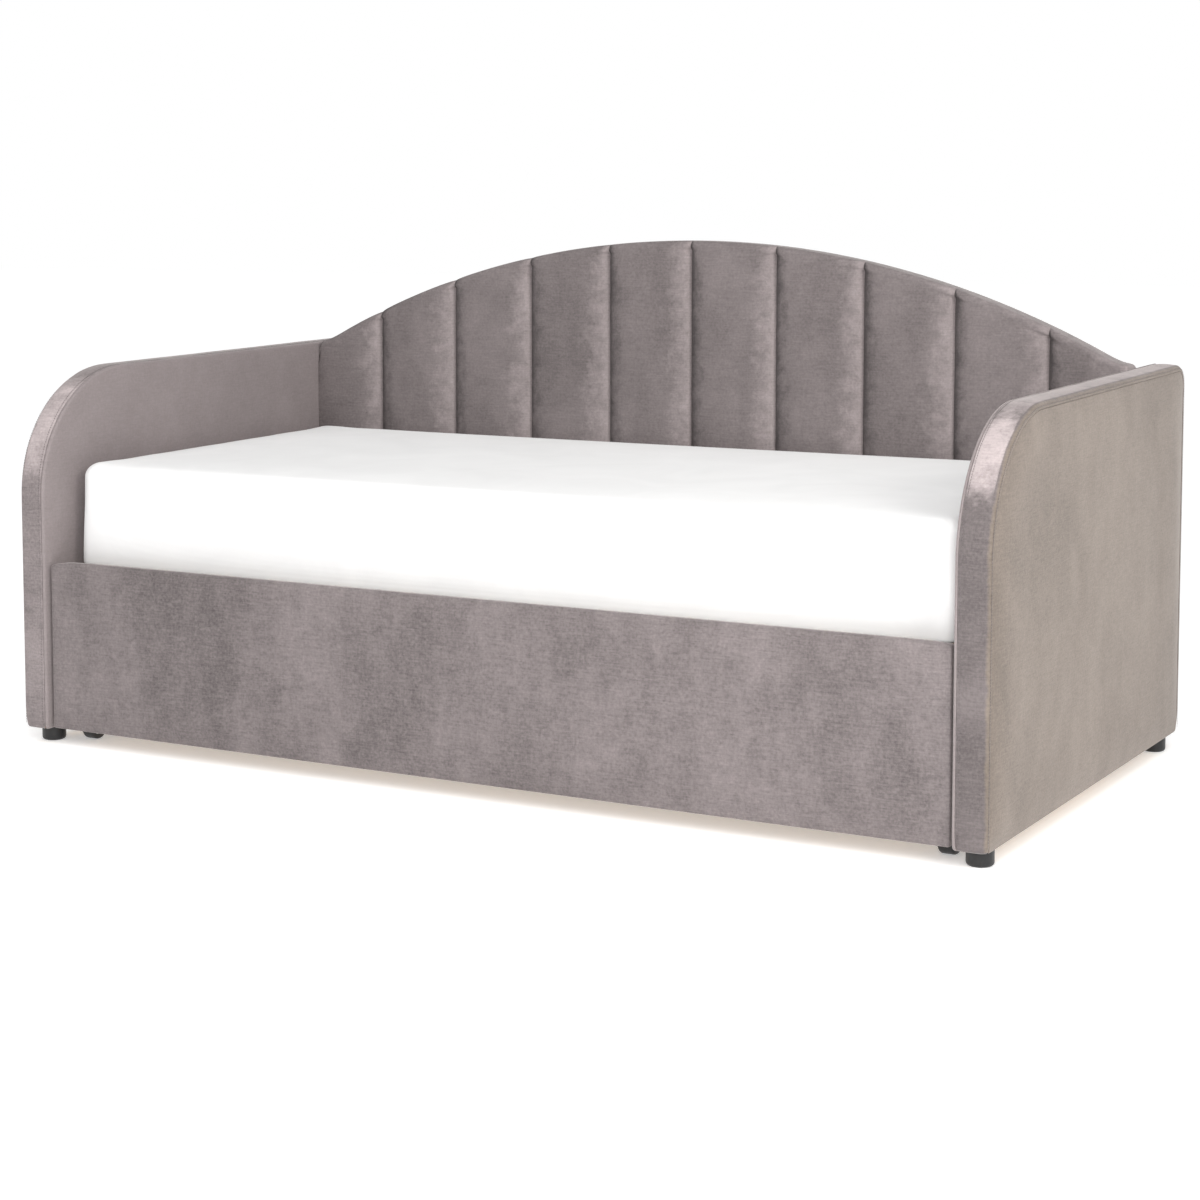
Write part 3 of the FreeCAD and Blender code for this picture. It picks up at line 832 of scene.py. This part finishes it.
def back_cover():
    """The channelled velvet cover: seams pulled deep, ending in puckers below a rolled top edge."""
    sizes = bpy.context.scene.daybed_sizes
    arch = Arch()
    seams = seam_places()
    x = back_columns(seams)
    edge = arch.height(x)
    body = np.linspace(0, 1, 34)[:-1]
    below = np.array([0.095, 0.080, 0.066, 0.054, 0.044, 0.036, 0.0295, 0.0245, 0.0205, 0.0175])
    front_turns = np.radians([0, 18, 36, 54, 72, 90])
    rear_turns = np.radians([90, 68, 46, 24, 0])
    rear_y = arch.rear - COVER_THICKNESS
    distance = np.min(np.abs(x[:, None] - seams[None, :]), axis=1)
    ends = np.minimum(x - seams[0], seams[-1] - x)
    profile = 0.52 * np.exp(-distance / 0.0048) + 0.42 * np.exp(-((distance / 0.022) ** 1.5))
    profile += 0.06 * (1 - np.minimum(distance / 0.104, 1)) ** 2
    profile *= np.clip(0.25 + ends / 0.1, 0, 1)
    edge = edge - 0.022 * np.exp(-((ends / 0.005) ** 2))
    rows = []

    def front_row(z, drop):
        fade = np.clip((drop - sizes.seam_stop) / 0.018, 0, 1)
        fade = fade * fade * (3 - 2 * fade)
        wander = np.array([noise.noise((px * 3.1, pz * 2.3, 1.7)) for px, pz in zip(x, z)])
        tight = np.array([noise.noise((px * 40, pz * 9.0, 5.1)) for px, pz in zip(x, z)])
        pucker = 0.0025 * np.exp(-((drop - sizes.seam_stop - 0.012) / 0.012) ** 2)
        pucker = pucker * np.exp(-distance / 0.010)
        y = arch.front + COVER_THICKNESS + sizes.seam_depth * profile * fade + pucker
        y = y + 0.0016 * wander + 0.0007 * tight * np.exp(-distance / 0.03)
        lip = np.clip(1 - drop / 0.05, 0, 1) ** 2 * 0.004
        return y + lip

    for share in body:
        z = arch.deck + share * (edge - below[0] - arch.deck)
        rows.append((front_row(z, edge - z), z))
    for drop in below:
        z = edge - drop
        rows.append((front_row(z, np.full_like(z, drop)), z))
    lip_y = front_row(edge - ROLL_RADIUS, np.full_like(edge, ROLL_RADIUS))
    for turn in front_turns:
        rows.append((lip_y + ROLL_RADIUS * (1 - math.cos(turn)), edge - ROLL_RADIUS * (1 - math.sin(turn))))
    for turn in rear_turns:
        y = rear_y - REAR_ROLL_RADIUS * (1 - math.cos(turn))
        rows.append((np.full_like(x, y), edge - REAR_ROLL_RADIUS * (1 - math.sin(turn))))
    rows.append((np.full_like(x, rear_y), edge - 2 * REAR_ROLL_RADIUS))
    cover = grid_piece("back_channelled_cover", len(x), len(rows))
    points = np.concatenate([np.column_stack([x, y, z]) for y, z in rows])
    place_vertices(cover.data, points)
    drops = np.concatenate([edge - z for y, z in rows])
    near = np.tile(distance, len(rows))
    flank = np.tile(ends, len(rows))
    row_of = np.repeat(np.arange(len(rows)), len(x))
    held = (near < 0.004) & (drops > sizes.seam_stop + 0.004)
    held |= (row_of == 0) | (row_of > len(body) + len(below) - 2) | (flank < 0.003)
    outward_if_needed(cover, Vector((0, -1, 0)))
    blow_up(cover, held, 3.0, 0.003, sizes.cloth_frames)
    apply_modifier(cover, "SOLIDIFY", thickness=COVER_THICKNESS, offset=-1)
    round_off(cover, 1)
    return cover


def outward_if_needed(piece, facing):
    """Flip a sheet whose first face looks the wrong way."""
    normals = sum((face.normal for face in piece.data.polygons), Vector())
    if normals.dot(facing) < 0:
        make_active(piece)
        bpy.ops.object.mode_set(mode="EDIT")
        bpy.ops.mesh.select_all(action="SELECT")
        bpy.ops.mesh.flip_normals()
        leave_edit()


def rear_cover():
    """The plain velvet panel that closes the back of the bed."""
    sizes = bpy.context.scene.daybed_sizes
    arch = Arch()
    x = np.linspace(-arch.half, arch.half, 81)
    shares = np.concatenate([[0, 0.004, 0.012], np.linspace(0.03, 0.97, 28), [0.988, 0.996, 1.0]])
    top = arch.height(x) - 0.016
    rows = []
    for share in shares:
        z = arch.bottom + share * (top - arch.bottom)
        rim = np.minimum.reduce([arch.half - np.abs(x), z - arch.bottom, top - z])
        y = arch.rear - 0.0045 * np.exp(-rim / 0.005)
        rows.append((y, z))
    cover = grid_piece("back_rear_panel", len(x), len(rows))
    place_vertices(cover.data, np.concatenate([np.column_stack([x, y, z]) for y, z in rows]))
    outward_if_needed(cover, Vector((0, 1, 0)))
    points = coordinates(cover.data)
    held = points[:, 1] < arch.rear - 0.0002
    blow_up(cover, held, 1.5, 0.003, sizes.cloth_frames)
    apply_modifier(cover, "SOLIDIFY", thickness=0.003, offset=-1)
    round_off(cover, 1)
    return cover


class DAYBED_OT_back(bpy.types.Operator):
    """Upholster the arched back: the channelled cover and the plain rear panel"""

    bl_idname = "daybed.back"
    bl_label = "Back"

    def execute(self, context):
        finish_piece(back_cover(), FINISHES["back"], "bed", [*CHANNELS, "back_top_band"])
        finish_piece(rear_cover(), FINISHES["arm_inner"], "bed", ["back_rear_cover"])
        return {"FINISHED"}


# ---- trundle front ---------------------------------------------------------

def soft_block(name, low, high, corner, top_edge, bottom_edge, step):
    """A block with rounded upright corners and soft edges, cut into a grid for the cloth."""
    low, high = Vector(low), Vector(high)
    start_alone()
    bpy.ops.mesh.primitive_cube_add(size=1, location=(low + high) / 2)
    bpy.context.active_object.scale = high - low
    block = named(name)
    pick(block, "EDGE", lambda a, b: abs(a.z - b.z) > 0.01)
    bpy.ops.mesh.bevel(offset=corner, segments=8)
    leave_edit()
    for level, radius, segments in ((high.z, top_edge, 6), (low.z, bottom_edge, 3)):
        pick(block, "EDGE", lambda a, b: abs(a.z - level) < 1e-5 and abs(b.z - level) < 1e-5)
        bpy.ops.mesh.bevel(offset=radius, segments=segments)
        leave_edit()
    for axis in range(3):
        if high[axis] - low[axis] > 2 * step:
            cut_at(block, axis, places_between(low[axis], high[axis], step))
    return block


def panel_cover():
    """The padded front of the trundle: velvet stretched round its board and folded at the corners."""
    sizes = bpy.context.scene.daybed_sizes
    low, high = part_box("trundle_front_cover")
    cover = panel_shell(low, high)
    points = coordinates(cover.data)
    held = points[:, 1] > low[1] + 0.0006
    blow_up(cover, held, 2.0, 0.004, sizes.cloth_frames)
    round_off(cover, 1)
    return cover


def panel_shell(low, high):
    """The panel's closed shape: tight upright corners and a soft front edge."""
    start_alone()
    bpy.ops.mesh.primitive_cube_add(size=1, location=(Vector(low) + Vector(high)) / 2)
    bpy.context.active_object.scale = Vector(high) - Vector(low)
    cover = named("trundle_front_pad")
    pick(cover, "EDGE", lambda a, b: abs(a.y - b.y) > 0.01)
    bpy.ops.mesh.bevel(offset=0.0045, segments=3)
    leave_edit()
    pick(cover, "FACE", lambda c, n: n.y < -0.9)
    bpy.ops.mesh.inset(thickness=0.00001, depth=0.0)    # holds the rim when the cover is subdivided
    soft_edge = ((0.0008, -0.0024), (0.0012, -0.0014), (0.0018, -0.0009), (0.0030, -0.0005))
    for inset, rise in soft_edge:
        bpy.ops.mesh.inset(thickness=inset, depth=-rise)
    leave_edit()
    edge_drop = sum(-rise for inset, rise in soft_edge)
    clearance = 0.0015    # more room beside the arms
    points = coordinates(cover.data)
    front = points[:, 1] < (low[1] + high[1]) / 2
    points[front, 1] += edge_drop
    points[:, 0] *= 1 - clearance / high[0]
    place_vertices(cover.data, points)
    tucks = (0.008, 0.018, 0.03, 0.045)
    near_ends = [low[0] + tuck for tuck in tucks] + [high[0] - tuck for tuck in tucks]
    end_zone = 0.06
    cut_at(cover, 0, near_ends + places_between(low[0] + end_zone, high[0] - end_zone, COVER_GRID))
    cut_at(cover, 2, places_between(low[2], high[2], COVER_GRID))
    points = coordinates(cover.data)
    top = np.clip((points[:, 2] - high[2] + end_zone) / end_zone, 0, 1)
    for end, droop in ((low[0], 0.011), (high[0], 0.004)):
        points[:, 2] -= droop * top * np.exp(-np.abs(points[:, 0] - end) / 0.022)
    place_vertices(cover.data, points)
    return cover


class DAYBED_OT_trundle_front(bpy.types.Operator):
    """Upholster the trundle's front panel"""

    bl_idname = "daybed.trundle_front"
    bl_label = "Trundle front"

    def execute(self, context):
        finish_piece(panel_cover(), FINISHES["panel"], "trundle", ["trundle_front_cover"])
        return {"FINISHED"}


# ---- bedding ---------------------------------------------------------------

def mattress_pieces():
    """A domed mattress and the fitted sheet stretched over it."""
    sizes = bpy.context.scene.daybed_sizes
    low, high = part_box("fitted_sheet")
    gap = 0.006
    end_gap = 0.013
    core_low = [low[0] + end_gap, low[1] + gap, low[2] + 0.002]
    core_high = [high[0] - end_gap, high[1] - gap, high[2] - gap]
    mattress = soft_block(
        "mattress_body", core_low, core_high,
        corner=0.032, top_edge=0.026, bottom_edge=0.004, step=MATTRESS_GRID)
    points = coordinates(mattress.data)
    held = points[:, 2] < core_low[2] + 0.02
    blow_up(mattress, held, 4.0, 0.006, sizes.cloth_frames)
    points = coordinates(mattress.data)
    share = np.clip((points[:, 2] - core_low[2]) / (core_high[2] - core_low[2]), 0, 1)
    rear = (points[:, 1] - low[1]) / (high[1] - low[1])
    points[:, 2] += share ** 2 * (sizes.mattress_rear_rise * rear - 0.003 * (1 - rear))
    place_vertices(mattress.data, points)
    round_off(mattress, 1)
    make_active(mattress)
    bpy.ops.object.duplicate()
    sheet = bpy.context.active_object
    sheet.name = "fitted_sheet_cover"
    sheet.data.name = sheet.name

    def past_hem(centre, normal):
        inside_y = low[1] + SHEET_HEM < centre.y < high[1] - SHEET_HEM
        return normal.z < -0.5 and abs(centre.x) < high[0] - SHEET_HEM and inside_y

    pick(sheet, "FACE", past_hem)
    bpy.ops.mesh.delete(type="FACE")
    leave_edit()
    pick(sheet, "VERT", lambda p: True)
    bpy.ops.transform.shrink_fatten(value=0.0018)
    leave_edit()
    apply_modifier(sheet, "SOLIDIFY", thickness=0.0009, offset=1)
    make_active(sheet)
    bpy.ops.object.shade_smooth()
    return mattress, sheet


class DAYBED_OT_bedding(bpy.types.Operator):
    """Make the mattress and its fitted sheet"""

    bl_idname = "daybed.bedding"
    bl_label = "Mattress and sheet"

    def execute(self, context):
        mattress, sheet = mattress_pieces()
        finish_piece(mattress, FINISHES["ticking"], "bed", ["mattress"])
        finish_piece(sheet, FINISHES["sheet"], "bed", ["fitted_sheet"])
        return {"FINISHED"}


# ---- frame, feet and casters -----------------------------------------------

def paint_nodes(finish, nodes):
    """Give CAD nodes a finish in their own material slots."""
    for node in nodes:
        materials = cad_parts[node].data.materials
        if not materials:
            materials.append(FINISHES[finish])
        for index in range(len(materials)):
            materials[index] = FINISHES[finish]


class DAYBED_OT_structure(bpy.types.Operator):
    """Finish the steel frame, the timbers, the slats, the feet and the casters"""

    bl_idname = "daybed.structure"
    bl_label = "Frame, feet and casters"

    def execute(self, context):
        paint_nodes("steel", ["front_rail", "rear_rail", "left_end_rail", "right_end_rail", "rail_brackets"])
        paint_nodes("birch", ["bed_slats", "trundle_slats"])
        paint_nodes("zinc", ["frame_bolts", "trundle_screws", "caster_axles"])
        paint_nodes("plywood", ["back_front_board", "trundle_front_board"])
        paint_nodes("pine_x", ["back_lower_rail", "trundle_front_rail", "trundle_rear_rail"])
        paint_nodes("pine_y", ["trundle_left_rail", "trundle_right_rail"])
        for side in SIDES:
            paint_nodes("pine_y", [side + "_arm_top_rail", side + "_arm_bottom_rail"])
            paint_nodes("pine_z", [side + "_arm_front_post", side + "_arm_rear_post", "back_%s_stile" % side])
            for row in ROWS:
                corner = "%s_%s" % (row, side)
                paint_nodes("foot", [corner + "_foot"])
                paint_nodes("wheel", [corner + "_wheel"])
                paint_nodes("zinc", [corner + "_caster_fork"])
        return {"FINISHED"}


# ---- stage -----------------------------------------------------------------

def soft_light(name, place, aim, size, power, colour):
    """A large square lamp that points at a place."""
    bpy.ops.object.light_add(type="AREA", location=place)
    lamp = bpy.context.active_object
    lamp.name = name
    lamp.data.shape = "RECTANGLE"
    lamp.data.size, lamp.data.size_y = size
    lamp.data.energy = power
    lamp.data.color = colour
    lamp.visible_camera = False
    lamp.rotation_euler = (Vector(aim) - Vector(place)).to_track_quat("-Z", "Y").to_euler()


def studio_world():
    """An even white studio: softer as a light than as a backdrop."""
    world = bpy.data.worlds.new("studio")
    world.use_nodes = True
    nodes, links = world.node_tree.nodes, world.node_tree.links
    backdrop = nodes.new("ShaderNodeBackground")
    path = nodes.new("ShaderNodeLightPath")
    mix = nodes.new("ShaderNodeMixShader")
    for background, strength in ((nodes["Background"], 0.36), (backdrop, 1.0)):
        background.inputs["Color"].default_value = (1.0, 1.0, 1.0, 1.0)
        background.inputs["Strength"].default_value = strength
    links.new(path.outputs["Is Camera Ray"], mix.inputs["Fac"])
    links.new(nodes["Background"].outputs["Background"], mix.inputs[1])
    links.new(backdrop.outputs["Background"], mix.inputs[2])
    links.new(mix.outputs["Shader"], nodes["World Output"].inputs["Surface"])
    return world


class DAYBED_OT_stage(bpy.types.Operator):
    """Set the camera, the pale floor and soft studio light"""

    bl_idname = "daybed.stage"
    bl_label = "Camera, floor and light"

    def execute(self, context):
        scene = context.scene
        start_alone()
        bpy.ops.object.camera_add(
            location=(2.4907, -4.4709, 1.1311),
            rotation=(math.radians(90 - 4.955), 0, math.radians(29.101)))
        camera = context.active_object
        camera.name = "camera"
        camera.data.sensor_width = 36.0
        camera.data.lens = 73.67
        camera.data.shift_y = -0.15
        scene.camera = camera
        bpy.ops.mesh.primitive_plane_add(size=60, location=(0, 0, 0))
        floor = named("floor")
        finish = Finish("pale_floor")
        tone = finish.spread(finish.noise(0.6, 2.0), 0.3, 0.7)
        colour = tuple(scene.daybed_colours.floor)
        finish.link(finish.blend(tone, scaled(colour, 0.99), colour), finish.shader.inputs["Base Color"])
        finish.set(Roughness=0.9, Specular_IOR_Level=0.1)
        finish.set(Emission_Color=(1.0, 1.0, 1.0, 1.0), Emission_Strength=0.36)
        floor.data.materials.append(finish.material)
        scene.world = studio_world()
        soft_light("key_light", (1.9, -4.2, 2.4), (0.3, -0.2, 0.5), (2.2, 2.2), 130, (1.0, 0.99, 0.98))
        soft_light("side_light", (4.2, -2.2, 2.6), (0.6, 0.0, 0.5), (1.8, 1.8), 85, (1.0, 0.985, 0.955))
        soft_light("fill_light", (-3.4, -4.4, 1.8), (0.0, 0.0, 0.4), (2.6, 2.6), 8, (0.98, 0.98, 1.0))
        bpy.ops.object.light_add(type="SUN", rotation=(math.radians(18), 0, 0))
        overhead = context.active_object
        overhead.name = "overhead_light"
        overhead.data.energy = 1.2
        overhead.data.angle = math.radians(70)
        scene.view_settings.view_transform = "Standard"
        return {"FINISHED"}


class DAYBED_PT_panel(bpy.types.Panel):
    """Buttons for each part of the daybed"""

    bl_idname = "DAYBED_PT_panel"
    bl_label = "Trundle daybed"
    bl_space_type = "VIEW_3D"
    bl_region_type = "UI"
    bl_category = "Daybed"

    def draw(self, context):
        for operator in OPERATORS:
            self.layout.operator(operator.bl_idname)
        for group in (context.scene.daybed_sizes, context.scene.daybed_colours):
            for name in group.bl_rna.properties.keys():
                if name not in ("rna_type", "name"):
                    self.layout.prop(group, name)


OPERATORS = (
    DAYBED_OT_stage,
    DAYBED_OT_structure,
    DAYBED_OT_arms,
    DAYBED_OT_back,
    DAYBED_OT_trundle_front,
    DAYBED_OT_bedding,
)
CLASSES = (DaybedSizes, DaybedColours, *OPERATORS, DAYBED_PT_panel)


def register():
    """Register the classes and hang the settings on the scene."""
    for cls in CLASSES:
        bpy.utils.register_class(cls)
    bpy.types.Scene.daybed_sizes = PointerProperty(type=DaybedSizes)
    bpy.types.Scene.daybed_colours = PointerProperty(type=DaybedColours)


def unregister():
    """Take the settings and the classes away again."""
    del bpy.types.Scene.daybed_colours
    del bpy.types.Scene.daybed_sizes
    for cls in reversed(CLASSES):
        bpy.utils.unregister_class(cls)


def main():
    """Build every piece in order."""
    register()
    FINISHES.update(make_finishes())
    bpy.ops.daybed.stage()
    bpy.ops.daybed.structure()
    bpy.ops.daybed.arms()
    bpy.ops.daybed.back()
    bpy.ops.daybed.trundle_front()
    bpy.ops.daybed.bedding()


if __name__ == "__main__":
    main()
